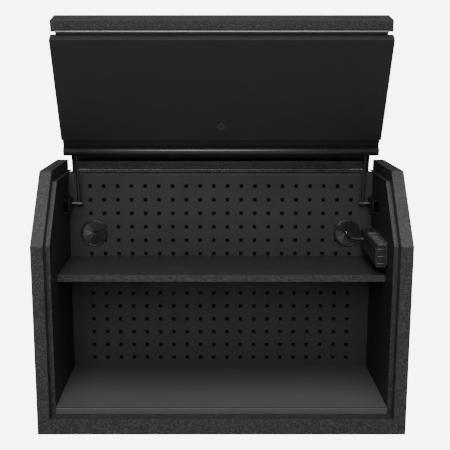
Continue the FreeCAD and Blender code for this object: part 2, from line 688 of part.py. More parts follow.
def reset_button():
    z = (STRIP_Z0 + STRIP_Z1) / 2
    y = GLAND_Y + 24
    cap = cyl_x(STRIP_X0 - 3.0, STRIP_X0 + 4.0, y, z, 5.0)
    return fuse(cap, cyl_x(STRIP_X0 + 4.0, STRIP_X0 + 9.0, y, z, 3.0))


def strain_relief():
    """Tapered gland on the strip's face that the lead leaves through."""
    seat = cyl_x(STRIP_X0 - 2.0, STRIP_X0 + 2.5, GLAND_Y, GLAND_Z, 6.0)
    flange = cyl_x(STRIP_X0 - 4.5, STRIP_X0, GLAND_Y, GLAND_Z, 8.0)
    nose = Part.makeCone(6.0, CORD_D / 2 + 1.1, GLAND_OUT - 4.5,
                         V(STRIP_X0 - 4.5, GLAND_Y, GLAND_Z), V(-1, 0, 0))
    return fuse(seat, flange, nose)


# ---- power lead ----------------------------------------------------------------------------
LEAD_REST = CORD_D / 2 + 0.1
CORD_HOLE_X = GROMMET_X - 4.3
COIL_MID_R = 35.0          # middle of three turns side by side, in two layers
COIL_AT = (GROMMET_X - 86.0, DEPTH + 93.4)
PLUG_ANGLE = 140.0         # where the cord leaves the coil, round the coil's centre
COIL_END = 28.0            # straight cord from there to the plug's neck
NECK_LEN = 40.0
PLUG_LEN = 34.0
PLUG_W = 28.0
PLUG_H = 19.4
LEAD_OFFSETS = [(28, -55, 437), (16, -54.5, 437.5), (4, -48, 439.5), (-3, -35.5, 442),
                (-4.4, -17, 443.6), (-4.1, 10, 444), (-4.8, 45, 443), (-5.6, 79, 438),
                (-6.2, 104, 414), (-7, 113, 370), (-8.4, 116, 310), (-7.6, 115, 244),
                (-5, 114, 180), (-2, 116, 122), (-2.5, 122, 72), (-7, 137, 32), (-18, 160, 9),
                (-36, 182, LEAD_REST + 0.6), (-60, 196, LEAD_REST),
                (-86, 201, LEAD_REST)]
LEAD = [(GROMMET_X + dx, BOARD_Y + dy, z) for dx, dy, z in LEAD_OFFSETS]


def lead_path():
    """Straight runs joined by tangent arcs of 0.45 of the shorter run; prints the radii."""
    pts = [V(*p) for p in LEAD]
    edges, start, radii = [], pts[0], []
    for a, b, c in zip(pts, pts[1:], pts[2:]):
        u, w = (b - a).normalize(), (c - b).normalize()
        turn = math.acos(max(-1.0, min(1.0, u.dot(w))))
        cut_back = 0.45 * min((b - a).Length, (c - b).Length)
        radius = cut_back / math.tan(turn / 2)
        first, last = b - u * cut_back, b + w * cut_back
        out = (w - u).normalize()
        centre = b + out * (radius / math.cos(turn / 2))
        middle = centre - out * radius
        edges += [Part.LineSegment(start, first).toShape(),
                  Part.Arc(first, middle, last).toShape()]
        radii.append(round(radius, 1))
        start = last
    edges.append(Part.LineSegment(start, pts[-1]).toShape())
    print("lead radii", radii)
    return Part.Wire(edges)


def lead():
    path = lead_path()
    first = (V(*LEAD[1]) - V(*LEAD[0])).normalize()
    ring = Part.Wire([Part.makeCircle(CORD_D / 2, V(*LEAD[0]), first)])
    tube = path.makePipeShell([ring], True, False)
    print("lead length", round(path.Length, 1), "volume share",
          round(tube.Volume / (math.pi * (CORD_D / 2) ** 2 * path.Length), 4))
    return tube


def lead_coil():
    """Outer shape of the coiled spare length, two layers of three turns, and its free end."""
    x, y = COIL_AT
    outer = COIL_MID_R + 1.5 * CORD_D + CLEAR
    inner = COIL_MID_R - 1.5 * CORD_D - CLEAR
    height = 2 * CORD_D + CLEAR
    ring = Part.makeCylinder(outer, height, V(x, y, 0.1), V(0, 0, 1))
    ring = ring.cut(Part.makeCylinder(inner, height + 2, V(x, y, -1), V(0, 0, 1)))
    ring = ring.makeFillet(1.5, [e for e in ring.Edges if e.Closed])
    return ring.fuse(at_plug(cyl_y(0, -COIL_END, 3, 0, CORD_D / 2)))


def at_plug(shape):
    """Place a piece drawn along -Y from the point where the cord leaves the coil."""
    a = math.radians(PLUG_ANGLE)
    r = COIL_MID_R + CORD_D
    out = shape.copy()
    out.rotate(V(0, 0, 0), V(0, 0, 1), PLUG_ANGLE - 180)
    out.translate(V(COIL_AT[0] + r * math.cos(a), COIL_AT[1] + r * math.sin(a),
                    LEAD_REST + CORD_D))
    return out


def power_plug():
    """Moulded three-pin plug lying beside the coil, its neck tapering to the cord."""
    y1 = -COIL_END - NECK_LEN
    body = box(-PLUG_W / 2, PLUG_W / 2, y1 - PLUG_LEN, y1, -PLUG_H / 2, PLUG_H / 2)
    body = body.makeFillet(3.0, [e for e in body.Edges if e.BoundBox.YLength > 30])
    neck = Part.makeCone(CORD_D / 2 + 1.2, 7.5, NECK_LEN, V(0, -COIL_END, 0), V(0, -1, 0))
    return at_plug(fuse(body, neck))


def plug_pins():
    y1 = -COIL_END - NECK_LEN - PLUG_LEN
    blades = [box(dx - 0.75, dx + 0.75, y1 - 16, y1, -1.0, 5.5) for dx in (-6.35, 6.35)]
    return at_plug(Part.makeCompound(blades + [cyl_y(0, y1 - 19, y1, -5.5, 2.4)]))


# ---- build ---------------------------------------------------------------------------------
def main():
    os.makedirs("parts", exist_ok=True)
    right = side_shell()
    save("side_shell_right", right)
    save("side_shell_left", mirror_x(right))
    wall = inner_wall()
    save("inner_wall_right", wall)
    save("inner_wall_left", mirror_x(wall))
    save("floor_pan", floor_pan())
    save("floor_mat", floor_mat())
    save("back_panel", back_panel())
    save("rear_rail", rear_rail())
    save("pegboard", pegboard())
    save("grommet_right", grommet(CORD_HOLE_X))
    save("grommet_left", mirror_x(grommet(GROMMET_X)))
    save("shelf", shelf())
    save("shelf_clips", shelf_clips())

    save("rear_hinge_fixed_leaf", hinge_leaf(REAR_AXIS, REAR_HINGE_HALF, REAR_LEAF_W, -1, 0))
    save("rear_hinge_pin", hinge_pin(REAR_AXIS, REAR_HINGE_HALF))
    save("rear_hinge_screws", rear_hinge_screws())
    save("rear_hinge_lid_leaf",
         open_lid(hinge_leaf(REAR_AXIS, REAR_HINGE_HALF, REAR_LEAF_W, 1, 1)))

    save("lid_shell", open_lid(lid_shell()))
    save("lid_stiffener", open_lid(lid_stiffener()))
    save("lid_badge_left", open_lid(lid_badge(26 - PANEL_HALF, 100 - PANEL_HALF)))
    save("lid_badge_right", open_lid(lid_badge(PANEL_HALF - 143, PANEL_HALF - 30)))
    bracket = open_lid(lid_strut_bracket())
    save("lid_strut_bracket_right", bracket)
    save("lid_strut_bracket_left", mirror_x(bracket))
    save("door_hinge_lid_leaf",
         open_lid(turned(hinge_leaf(DOOR_AXIS, DOOR_HINGE_HALF, DOOR_LEAF_W, 1, 0, LEAF_GAP),
                         DOOR_AXIS, -90)))
    save("door_hinge_pin", open_lid(hinge_pin(DOOR_AXIS, DOOR_HINGE_HALF)))

    save("door_hinge_door_leaf",
         open_door(turned(hinge_leaf(DOOR_AXIS, DOOR_HINGE_HALF, DOOR_LEAF_W, -1, 1, LEAF_GAP),
                          DOOR_AXIS, 90)))
    save("door_shell", open_door(door_shell()))
    save("door_inner_panel", open_door(door_inner_panel()))
    save("door_handle", open_door(door_handle()))
    cap = open_door(handle_end_cap())
    save("handle_end_cap_right", cap)
    save("handle_end_cap_left", mirror_x(cap))
    save("lock_body", open_door(lock_body()))
    save("lock_plug", open_door(lock_plug()))
    save("lock_cam", open_door(lock_cam()))
    save("lock_bar_right", open_door(lock_bar(1)))
    save("lock_bar_left", open_door(lock_bar(-1)))

    for name, piece in (("wall_bracket", wall_bracket()), ("ball_stud", ball_stud()),
                        ("strut_rod", strut_rod()), ("strut_cylinder", strut_cylinder())):
        save(name + "_right", piece)
        save(name + "_left", mirror_x(piece))

    save("strip_plate", strip_plate())
    save("strip_housing", strip_housing())
    save("strip_cap_front", strip_cap(True))
    save("strip_cap_rear", strip_cap(False))
    save("strip_outlets", outlets())
    save("strip_clips", strip_clips())
    save("reset_button", reset_button())
    save("strain_relief", strain_relief())
    save("power_lead", lead())
    save("lead_coil", lead_coil())
    save("power_plug", power_plug())
    save("plug_pins", plug_pins())


main()
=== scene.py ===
import json
import math

import bmesh
import bpy
import numpy as np
from mathutils import Matrix, Vector

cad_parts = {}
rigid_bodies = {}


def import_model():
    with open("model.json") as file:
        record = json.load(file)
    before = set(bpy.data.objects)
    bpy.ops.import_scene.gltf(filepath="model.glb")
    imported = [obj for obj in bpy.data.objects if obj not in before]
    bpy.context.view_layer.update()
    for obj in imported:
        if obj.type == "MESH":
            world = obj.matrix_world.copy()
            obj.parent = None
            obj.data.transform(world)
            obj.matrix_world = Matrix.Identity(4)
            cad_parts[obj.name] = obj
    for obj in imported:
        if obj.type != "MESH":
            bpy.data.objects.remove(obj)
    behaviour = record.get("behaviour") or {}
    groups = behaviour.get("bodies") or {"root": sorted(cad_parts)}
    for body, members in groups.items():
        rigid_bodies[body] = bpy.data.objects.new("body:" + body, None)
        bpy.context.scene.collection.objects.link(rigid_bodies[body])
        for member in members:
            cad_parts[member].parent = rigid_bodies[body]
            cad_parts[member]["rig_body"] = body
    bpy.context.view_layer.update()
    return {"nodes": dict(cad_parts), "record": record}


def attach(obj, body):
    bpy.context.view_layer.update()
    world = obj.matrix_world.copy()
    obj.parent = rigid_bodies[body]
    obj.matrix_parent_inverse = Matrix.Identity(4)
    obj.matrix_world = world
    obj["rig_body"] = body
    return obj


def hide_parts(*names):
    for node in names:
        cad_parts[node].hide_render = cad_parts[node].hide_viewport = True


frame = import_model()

NODES = frame["nodes"]
MM = 0.001


# ---- camera, light and floor ---------------------------------------------------------------
def set_camera():
    data = bpy.data.cameras.new("camera")
    data.sensor_width = 36.0
    data.lens = 76.8
    data.shift_x = 0.0279
    data.shift_y = 0.1267
    data.clip_end = 60.0
    camera = bpy.data.objects.new("camera", data)
    camera.location = (-0.0228, -2.4905, 0.9157)
    camera.rotation_euler = (math.radians(77.0), 0.0, 0.0)
    bpy.context.scene.collection.objects.link(camera)
    bpy.context.scene.camera = camera


def add_light(name, size, power, place, aim):
    """Soft square light of the given size that faces the point aim."""
    data = bpy.data.lights.new(name, "AREA")
    data.shape = "SQUARE"
    data.size = size
    data.energy = power
    light = bpy.data.objects.new(name, data)
    light.location = place
    turn = (Vector(aim) - Vector(place)).to_track_quat("-Z", "Y")
    light.rotation_euler = turn.to_euler()
    bpy.context.scene.collection.objects.link(light)


def set_studio():
    world = bpy.data.worlds.new("studio")
    bpy.context.scene.world = world
    world.use_nodes = True
    sky = world.node_tree.nodes["Background"]
    sky.inputs["Color"].default_value = (1.0, 1.0, 1.0, 1.0)
    sky.inputs["Strength"].default_value = 0.2
    add_light("overhead", 2.0, 52.0, (0.0, -0.9, 3.0), (0.0, 0.0, 0.6))
    add_light("front", 1.8, 74.0, (-0.25, -3.6, 2.1), (0.0, 0.0, 0.3))
    paper = bpy.data.materials.new("paper")
    paper.use_nodes = True
    shader = paper.node_tree.nodes["Principled BSDF"]
    shader.inputs["Base Color"].default_value = (0.5, 0.5, 0.5, 1.0)
    shader.inputs["Roughness"].default_value = 0.9
    shader.inputs["Emission Color"].default_value = (1.0, 1.0, 1.0, 1.0)
    glow = paper.node_tree.nodes.new("ShaderNodeMath")
    glow.operation = "MULTIPLY"
    glow.inputs[1].default_value = 7.0
    rays = paper.node_tree.nodes.new("ShaderNodeLightPath")
    paper.node_tree.links.new(rays.outputs["Is Camera Ray"], glow.inputs[0])
    paper.node_tree.links.new(glow.outputs[0], shader.inputs["Emission Strength"])
    mesh = bpy.data.meshes.new("paper_sweep")
    mesh.from_pydata(*paper_sweep())
    mesh.materials.append(paper)
    mesh.polygons.foreach_set("use_smooth", np.ones(len(mesh.polygons), dtype=bool))
    sweep = bpy.data.objects.new("paper_sweep", mesh)
    bpy.context.scene.collection.objects.link(sweep)


def paper_sweep():
    """Flat floor, then a quarter circle of radius 2.5 m, then an upright wall, 24 m wide."""
    turn = np.linspace(0.0, math.pi / 2, 24)
    y = np.concatenate(([-9.0], 4.0 + 2.5 * np.sin(turn), [6.5]))
    z = np.concatenate(([0.0], 2.5 - 2.5 * np.cos(turn), [9.0]))
    x = np.array([-12.0, 12.0])
    points = np.stack(np.broadcast_arrays(x[None, :], y[:, None], z[:, None]), axis=-1)
    return points.reshape(-1, 3).tolist(), [], grid_faces(len(y), 2).tolist()


# ---- meshes from grids ---------------------------------------------------------------------
def grid_faces(rows, cols, wrap_rows=False, wrap_cols=False):
    """Quads between neighbouring points of a rows by cols grid, closed up where asked."""
    r = np.arange(rows if wrap_rows else rows - 1)
    c = np.arange(cols if wrap_cols else cols - 1)
    r, c = (a.ravel() for a in np.meshgrid(r, c, indexing="ij"))
    r2, c2 = (r + 1) % rows, (c + 1) % cols
    return np.stack([r * cols + c, r * cols + c2, r2 * cols + c2, r2 * cols + c], axis=1)


def capped_tube(rings):
    """Closed skin over an array of rings (ring, point, xyz), with a centre point at each end."""
    count, around = rings.shape[:2]
    faces = grid_faces(count, around, wrap_cols=True)
    points = np.concatenate([rings.reshape(-1, 3), rings[:1].mean(axis=1), rings[-1:].mean(axis=1)])
    k = np.arange(around)
    after = (k + 1) % around
    last = (count - 1) * around
    first_cap = np.stack([after, k, np.full(around, count * around)], axis=1)
    last_cap = np.stack([last + k, last + after, np.full(around, count * around + 1)], axis=1)
    return points, faces.tolist() + first_cap.tolist() + last_cap.tolist()


def add_piece(name, points, faces, slot, body, replaced=(), smooth=40.0):
    """New visible piece with its finish, its body and the nodes it stands for."""
    mesh = bpy.data.meshes.new(name)
    mesh.from_pydata(np.asarray(points).tolist(), [], [list(f) for f in faces])
    mesh.update()
    shell = bmesh.new()
    shell.from_mesh(mesh)
    bmesh.ops.remove_doubles(shell, verts=shell.verts, dist=1e-6)
    bmesh.ops.recalc_face_normals(shell, faces=shell.faces)
    shell.to_mesh(mesh)
    shell.free()
    mesh.set_sharp_from_angle(angle=math.radians(smooth))
    mesh.polygons.foreach_set("use_smooth", np.ones(len(mesh.polygons), dtype=bool))
    return finish_piece(name, mesh, slot, body, replaced)


def finish_piece(name, mesh, slot, body, replaced):
    piece = bpy.data.objects.new(name, mesh)
    bpy.context.scene.collection.objects.link(piece)
    mesh.materials.clear()
    mesh.materials.append(FINISH[slot])
    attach(piece, body)
    if replaced:
        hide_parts(*replaced)
    return piece


def eased(node, slot, width, finish=None):
    """Copy of a folded or moulded node with its sharp edges rounded by width."""
    source = NODES[node].data
    spots = np.empty(len(source.vertices) * 3)
    source.vertices.foreach_get("co", spots)
    corners = np.empty(len(source.loops), dtype=int)
    source.loops.foreach_get("vertex_index", corners)
    mesh = bpy.data.meshes.new("eased_" + node)
    mesh.from_pydata(spots.reshape(-1, 3).tolist(), [], corners.reshape(-1, 3).tolist())
    shell = bmesh.new()
    shell.from_mesh(mesh)
    bmesh.ops.remove_doubles(shell, verts=shell.verts, dist=2e-6)
    bmesh.ops.dissolve_limit(shell, angle_limit=math.radians(0.4), verts=shell.verts,
                             edges=shell.edges)
    shell.to_mesh(mesh)
    shell.free()
    piece = finish_piece("eased_" + node, mesh, slot, NODES[node]["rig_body"], (node,))
    if finish:
        mesh.materials[0] = FINISH[finish]
    bevel = piece.modifiers.new("eased_edges", "BEVEL")
    bevel.width = width
    bevel.segments = 2
    bevel.limit_method = "ANGLE"
    bevel.angle_limit = math.radians(32.0)
    bevel.use_clamp_overlap = True


# ---- shared surface effects ----------------------------------------------------------------
def new_group(name, inputs, outputs):
    """Empty shader node group; inputs are (name, kind, value) and outputs (name, kind)."""
    group = bpy.data.node_groups.new(name, "ShaderNodeTree")
    for label, kind, value in inputs:
        socket = group.interface.new_socket(label, in_out="INPUT", socket_type=kind)
        if value is not None:
            socket.default_value = value
    for label, kind in outputs:
        group.interface.new_socket(label, in_out="OUTPUT", socket_type=kind)
    start = group.nodes.new("NodeGroupInput")
    end = group.nodes.new("NodeGroupOutput")
    return group, start, end


def spread_by(group, start, vector_socket, size_socket):
    """Vector divided by a size in millimetres, so one pattern unit is that size."""
    metres = group.nodes.new("ShaderNodeMath")
    metres.operation = "DIVIDE"
    metres.inputs[0].default_value = 1.0 / MM
    group.links.new(start.outputs[size_socket], metres.inputs[1])
    scale = group.nodes.new("ShaderNodeVectorMath")
    scale.operation = "SCALE"
    group.links.new(start.outputs[vector_socket], scale.inputs[0])
    group.links.new(metres.outputs[0], scale.inputs["Scale"])
    return scale.outputs[0]


def noise_in(group, vector, scale, detail, rough=0.55):
    noise = group.nodes.new("ShaderNodeTexNoise")
    noise.inputs["Scale"].default_value = scale
    noise.inputs["Detail"].default_value = detail
    noise.inputs["Roughness"].default_value = rough
    group.links.new(vector, noise.inputs["Vector"])
    return noise.outputs["Fac"]


def map_in(group, value, low, high, to_low=0.0, to_high=1.0):
    band = group.nodes.new("ShaderNodeMapRange")
    for label, number in (("From Min", low), ("From Max", high), ("To Min", to_low),
                          ("To Max", to_high)):
        if isinstance(number, float):
            band.inputs[label].default_value = number
        else:
            group.links.new(number, band.inputs[label])
    group.links.new(value, band.inputs["Value"])
    return band.outputs["Result"]


def powder_group():
    """Powder coat: rounded beads of paint with pits between them, and paler flecks."""
    group, start, end = new_group(
        "powder_coat",
        [("Vector", "NodeSocketVector", None), ("Bead", "NodeSocketFloat", 1.6)],
        [("Height", "NodeSocketFloat"), ("Fleck", "NodeSocketFloat")])
    spread = spread_by(group, start, "Vector", "Bead")
    cells = group.nodes.new("ShaderNodeTexVoronoi")
    cells.feature = "SMOOTH_F1"
    cells.inputs["Scale"].default_value = 1.0
    cells.inputs["Smoothness"].default_value = 0.6
    cells.inputs["Randomness"].default_value = 1.0
    group.links.new(spread, cells.inputs["Vector"])
    beads = map_in(group, cells.outputs["Distance"], 0.05, 0.75, 1.0, 0.0)
    waves = noise_in(group, spread, 0.45, 2.0)
    sum_up = group.nodes.new("ShaderNodeMath")
    sum_up.operation = "MULTIPLY_ADD"
    sum_up.inputs[1].default_value = 0.6
    group.links.new(waves, sum_up.inputs[0])
    group.links.new(beads, sum_up.inputs[2])
    group.links.new(sum_up.outputs[0], end.inputs["Height"])
    specks = noise_in(group, spread, 0.72, 3.0, 0.8)
    group.links.new(map_in(group, specks, 0.485, 0.6), end.inputs["Fleck"])
    return group


def smudge_group():
    """Slow unevenness from handling and dust, given back between Low and High."""
    group, start, end = new_group(
        "smudge",
        [("Vector", "NodeSocketVector", None), ("Patch", "NodeSocketFloat", 90.0),
         ("Low", "NodeSocketFloat", 0.4), ("High", "NodeSocketFloat", 0.6)],
        [("Mask", "NodeSocketFloat")])
    spread = spread_by(group, start, "Vector", "Patch")
    patches = noise_in(group, spread, 1.0, 5.0)
    result = map_in(group, patches, 0.3, 0.7, start.outputs["Low"], start.outputs["High"])
    group.links.new(result, end.inputs["Mask"])
    return group


def drawn_group():
    """Fine lines left by drawing or brushing metal, along X."""
    group, start, end = new_group(
        "drawn_lines",
        [("Vector", "NodeSocketVector", None), ("Line", "NodeSocketFloat", 0.4)],
        [("Height", "NodeSocketFloat")])
    spread = spread_by(group, start, "Vector", "Line")
    stretch = group.nodes.new("ShaderNodeVectorMath")
    stretch.operation = "MULTIPLY"
    stretch.inputs[1].default_value = (0.02, 1.0, 1.0)
    group.links.new(spread, stretch.inputs[0])
    group.links.new(noise_in(group, stretch.outputs[0], 1.0, 3.0), end.inputs["Height"])
    return group


GROUPS = {"powder": powder_group(), "smudge": smudge_group(), "drawn": drawn_group()}


def use_group(tree, key, vector, **values):
    node = tree.nodes.new("ShaderNodeGroup")
    node.node_tree = GROUPS[key]
    tree.links.new(vector, node.inputs["Vector"])
    for label, number in values.items():
        node.inputs[label].default_value = number
    return node


def make_finish(name, dark, pale, rough, spread=0.06, bead=1.6, depth=0.05, strength=0.6,
                patch=90.0, metallic=0.0, specular=0.5, lines=0.0, coat=0.0):
    """Paint or metal: dark base with pale flecks, patchy roughness and a fine relief.

    Relief height is the powder bead pattern, or drawn lines where lines gives their width.
    """
    finish = bpy.data.materials.new(name)
    finish.use_nodes = True
    tree = finish.node_tree
    shader = tree.nodes["Principled BSDF"]
    shader.inputs["Metallic"].default_value = metallic
    shader.inputs["Specular IOR Level"].default_value = specular
    shader.inputs["Coat Weight"].default_value = coat
    shader.inputs["Coat Roughness"].default_value = 0.18
    place = tree.nodes.new("ShaderNodeTexCoord").outputs["Object"]
    powder = use_group(tree, "powder", place, Bead=bead)
    mix = tree.nodes.new("ShaderNodeMix")
    mix.data_type = "RGBA"
    mix.inputs["A"].default_value = (*dark, 1.0)
    mix.inputs["B"].default_value = (*pale, 1.0)
    tree.links.new(powder.outputs["Fleck"], mix.inputs["Factor"])
    tree.links.new(mix.outputs["Result"], shader.inputs["Base Color"])
    smudge = use_group(tree, "smudge", place, Patch=patch, Low=rough - spread,
                       High=rough + spread)
    tree.links.new(smudge.outputs["Mask"], shader.inputs["Roughness"])
    relief = use_group(tree, "drawn", place, Line=lines) if lines else powder
    bump = tree.nodes.new("ShaderNodeBump")
    bump.inputs["Strength"].default_value = strength
    bump.inputs["Distance"].default_value = depth * MM
    tree.links.new(relief.outputs["Height"], bump.inputs["Height"])
    tree.links.new(bump.outputs["Normal"], shader.inputs["Normal"])
    return finish


def grey(value):
    return (value, value, value)


FINISH = {
    "hammered_black": make_finish("hammered_black", grey(0.008), grey(0.078), 0.5,
                                  bead=1.9, depth=0.28, strength=0.8),
    "liner_black": make_finish("liner_black", grey(0.008), grey(0.02), 0.5,
                               bead=1.0, depth=0.08, strength=0.5),
    "pegboard_black": make_finish("pegboard_black", grey(0.008), grey(0.058), 0.55,
                                  bead=1.3, depth=0.12, strength=0.6),
    "mat_grey": make_finish("mat_grey", grey(0.072), grey(0.098), 0.62, bead=0.9,
                            depth=0.06, strength=0.5, patch=140.0, spread=0.1),
    "soft_black": make_finish("soft_black", grey(0.012), grey(0.03), 0.34, bead=0.6,
                              depth=0.03, strength=0.4, patch=30.0),
    # Darker copy of the hammered black paint: painted shade for the door's down-facing face. Its
    # finer beads are relief.
    "door_shaded_black": make_finish("door_shaded_black", grey(0.007), grey(0.018), 0.48,
                              bead=1.4, depth=0.1, strength=0.5),
    "hinge_steel": make_finish("hinge_steel", grey(0.1), grey(0.26), 0.3, bead=0.8,
                               depth=0.04, strength=0.5, patch=40.0, spread=0.1,
                               metallic=0.7),
    "handle_black": make_finish("handle_black", grey(0.012), grey(0.02), 0.3, bead=0.5,
                                depth=0.02, strength=0.35, lines=0.5, specular=0.6),
    "badge_grey": make_finish("badge_grey", grey(0.008), grey(0.014), 0.3, bead=0.7,
                              depth=0.02, strength=0.3, patch=25.0, coat=0.3),
    "lock_steel": make_finish("lock_steel", grey(0.06), grey(0.12), 0.3, bead=0.5,
                              depth=0.02, strength=0.3, patch=12.0, metallic=1.0,
                              lines=0.25),
    "rod_steel": make_finish("rod_steel", grey(0.05), grey(0.08), 0.22, bead=0.5,
                             depth=0.01, strength=0.3, patch=20.0, metallic=0.6,
                             lines=0.2),
    "tube_black": make_finish("tube_black", grey(0.01), grey(0.016), 0.28, bead=0.8,
                              depth=0.03, strength=0.4, patch=40.0, coat=0.4),
    "strip_black": make_finish("strip_black", grey(0.012), grey(0.03), 0.34, bead=0.7,
                               depth=0.04, strength=0.5, patch=35.0),
    "strip_metal": make_finish("strip_metal", grey(0.1), grey(0.2), 0.32, bead=1.0,
                               depth=0.05, strength=0.5, patch=30.0, metallic=0.6),
    "lead_black": make_finish("lead_black", grey(0.008), grey(0.014), 0.26, bead=0.8,
                              depth=0.02, strength=0.3, patch=40.0, specular=0.6),
}

# ---- sizes in millimetres, with the lid and door closed ------------------------------------
# The hinge axes are (y, z) from the cabinet's middle. The swings, in degrees, open the lid and
# fold the door.
HALF_DEPTH = 228.5
REAR_AXIS = (221.5, 615.0)
DOOR_AXIS = (-200.3, 395.0)
LID_SWING = -78.3
DOOR_FOLD = 107.6
PANEL_HALF = 419.0
DOOR_TOP = 387.5
DOOR_FACE = 289.0
STEP_HEIGHT = 31.0
END_CAP = 2.8
BOARD_Y = 162.5
FLOOR_TOP = 57.8
LINER_FRONT = 35.0 - HALF_DEPTH
LINER_LOW = 42.2
GROMMET_X = 354.0
GROMMET_Z = 444.0


def turn_about(axis, degrees):
    """Matrix, in millimetres, of a turn about the line along X through (y, z)."""
    there = Matrix.Translation((0.0, axis[0], axis[1]))
    return there @ Matrix.Rotation(math.radians(degrees), 4, "X") @ there.inverted()


LID_TURN = turn_about(REAR_AXIS, LID_SWING)
DOOR_TURN = LID_TURN @ turn_about(DOOR_AXIS, DOOR_FOLD)


def placed(points, turn=None):
    """Points in millimetres, turned where asked, given back in metres."""
    flat = np.asarray(points, dtype=float).reshape(-1, 3)
    if turn is not None:
        matrix = np.array(turn)
        flat = flat @ matrix[:3, :3].T + matrix[:3, 3]
    return (flat * MM).reshape(np.shape(points))


def rounded_outline(half_w, half_h, corner, per_corner=6):
    """Closed outline of a rectangle with quarter-circle corners, as (u, v) pairs."""
    quarter = np.linspace(0.0, math.pi / 2, per_corner)
    starts = np.arange(4)[:, None] * math.pi / 2
    angle = starts + quarter[None, :]
    side_u = np.array([1, -1, -1, 1])[:, None]
    side_v = np.array([1, 1, -1, -1])[:, None]
    u = side_u * (half_w - corner) + corner * np.cos(angle)
    v = side_v * (half_h - corner) + corner * np.sin(angle)
    return np.stack([u.ravel(), v.ravel()], axis=1)


# ---- pull bar ------------------------------------------------------------------------------
def pull_bar():
    """Round-nosed bar along the door's lower edge.

    The side outline is a half circle of radius 12.5 in front of a block with eased rear
    corners. It is carried from end cap to end cap, and shrinks by the end radius at each
    end as e - sqrt(e^2 - (e - s)^2), where s is the distance from the end.
    """
    radius, front, back = 12.5, 2.0, 30.0
    centre_y = front + radius + 1.0 - HALF_DEPTH
    centre_z = DOOR_TOP - DOOR_FACE - STEP_HEIGHT - radius
    nose = np.linspace(math.pi / 2, 3 * math.pi / 2, 28)
    corner = 1.6
    rear = back - HALF_DEPTH - centre_y
    turn = np.linspace(0.0, math.pi / 2, 5)
    low = np.stack([rear - corner + corner * np.sin(turn),
                    -radius + corner - corner * np.cos(turn)], axis=1)
    high = np.stack([rear - corner + corner * np.cos(turn),
                     radius - corner + corner * np.sin(turn)], axis=1)
    side = np.concatenate([np.stack([radius * np.cos(nose), radius * np.sin(nose)], axis=1),
                           low, high])
    middle = np.array([(rear - radius) / 2, 0.0])
    cap_start = PANEL_HALF - END_CAP
    bar_end = cap_start - 0.4
    for name, x0, x1, end, replaced in (
            ("pull_bar", -bar_end, bar_end, 0.5, ("door_handle",)),
            ("end_cap_right", cap_start, PANEL_HALF, 1.2, ("handle_end_cap_right",)),
            ("end_cap_left", -PANEL_HALF, -cap_start, 1.2, ("handle_end_cap_left",))):
        step = np.array([0.0, 0.12, 0.4, 1.0]) * end
        x = np.concatenate([x0 + step, x1 - step[::-1]])
        shrink = end - np.sqrt(end ** 2 - (end - step) ** 2)
        shrink = np.concatenate([shrink, shrink[::-1]])
        size = np.linalg.norm(side - middle, axis=1)
        outline = middle + (side - middle) * (1.0 - shrink[:, None, None] / size[None, :, None])
        xs = np.broadcast_to(x[:, None, None], outline.shape[:2] + (1,))
        rings = np.concatenate([xs, outline + (centre_y, centre_z)], axis=2)
        points, faces = capped_tube(placed(rings, DOOR_TURN))
        add_piece(name, points, faces, "handle_black", "door", replaced, smooth=50.0)


# ---- star grommets -------------------------------------------------------------------------
def star_grommet(side, name, replaced):
    """Rubber cable grommet with eight flaps.

    A closed ring surface: radius r and depth follow a profile from the centre hole out over
    the flaps, the dished step and the round bead, and back along the board. Each flap is
    tilted in proportion to the angle from its middle, and the slits are grooves 0.9 mm wide.
    The centre hole is moved sideways by (1 - r/R)^2 of the cord's offset.
    """
    rim = 38.0
    offset, hole = (-5.1, 3.6) if side > 0 else (0.0, 0.5)
    profile = np.array([(hole, 0.9), (hole + 0.4, 1.1), (7.0, 1.2), (12.0, 1.35), (18.0, 1.5),
                        (24.0, 1.65), (29.0, 1.75), (31.5, 1.8), (32.3, 1.0), (32.8, 0.9),
                        (33.2, 2.4), (33.8, 3.3), (35.0, 3.8), (36.4, 3.5), (37.4, 2.7),
                        (rim, 1.4), (rim, 0.35), (36.0, 0.05), (26.5, 0.05), (23.0, 0.1),
                        (12.0, 0.15), (hole + 0.6, 0.2)])
    slit = math.radians(45.0)
    fine = np.array([-0.5, -0.475, -0.45, -0.36, -0.24, -0.12, 0.0, 0.12, 0.24, 0.36, 0.45,
                     0.475])
    angle = ((np.arange(8)[:, None] + fine[None, :]) * slit).ravel()
    r, depth = profile[:, 0][:, None], profile[:, 1][:, None]
    local = np.tile(fine, 8)[None, :] * slit
    on_flap = (r < 32.0) & (depth > 0.5)
    arc = np.abs((math.pi / 8 - np.abs(local)) * r)
    groove = np.clip(1.0 - arc / 0.45, 0.0, 1.0)
    crown = 2.9 * local / slit * np.clip(r / 22.0, 0.0, 1.0)
    lift = depth + np.where(on_flap, crown - 1.0 * groove, 0.0)
    lift = np.maximum(lift, 0.04)
    pull = offset * (1.0 - r / rim) ** 2
    x = side * GROMMET_X + pull + r * np.cos(angle[None, :])
    z = GROMMET_Z + r * np.sin(angle[None, :])
    y = BOARD_Y - lift
    rings = placed(np.stack([x, y, z], axis=2))
    faces = grid_faces(len(profile), len(angle), wrap_rows=True, wrap_cols=True)
    add_piece(name, rings.reshape(-1, 3), faces, "soft_black", "cabinet", (replaced,), smooth=35.0)


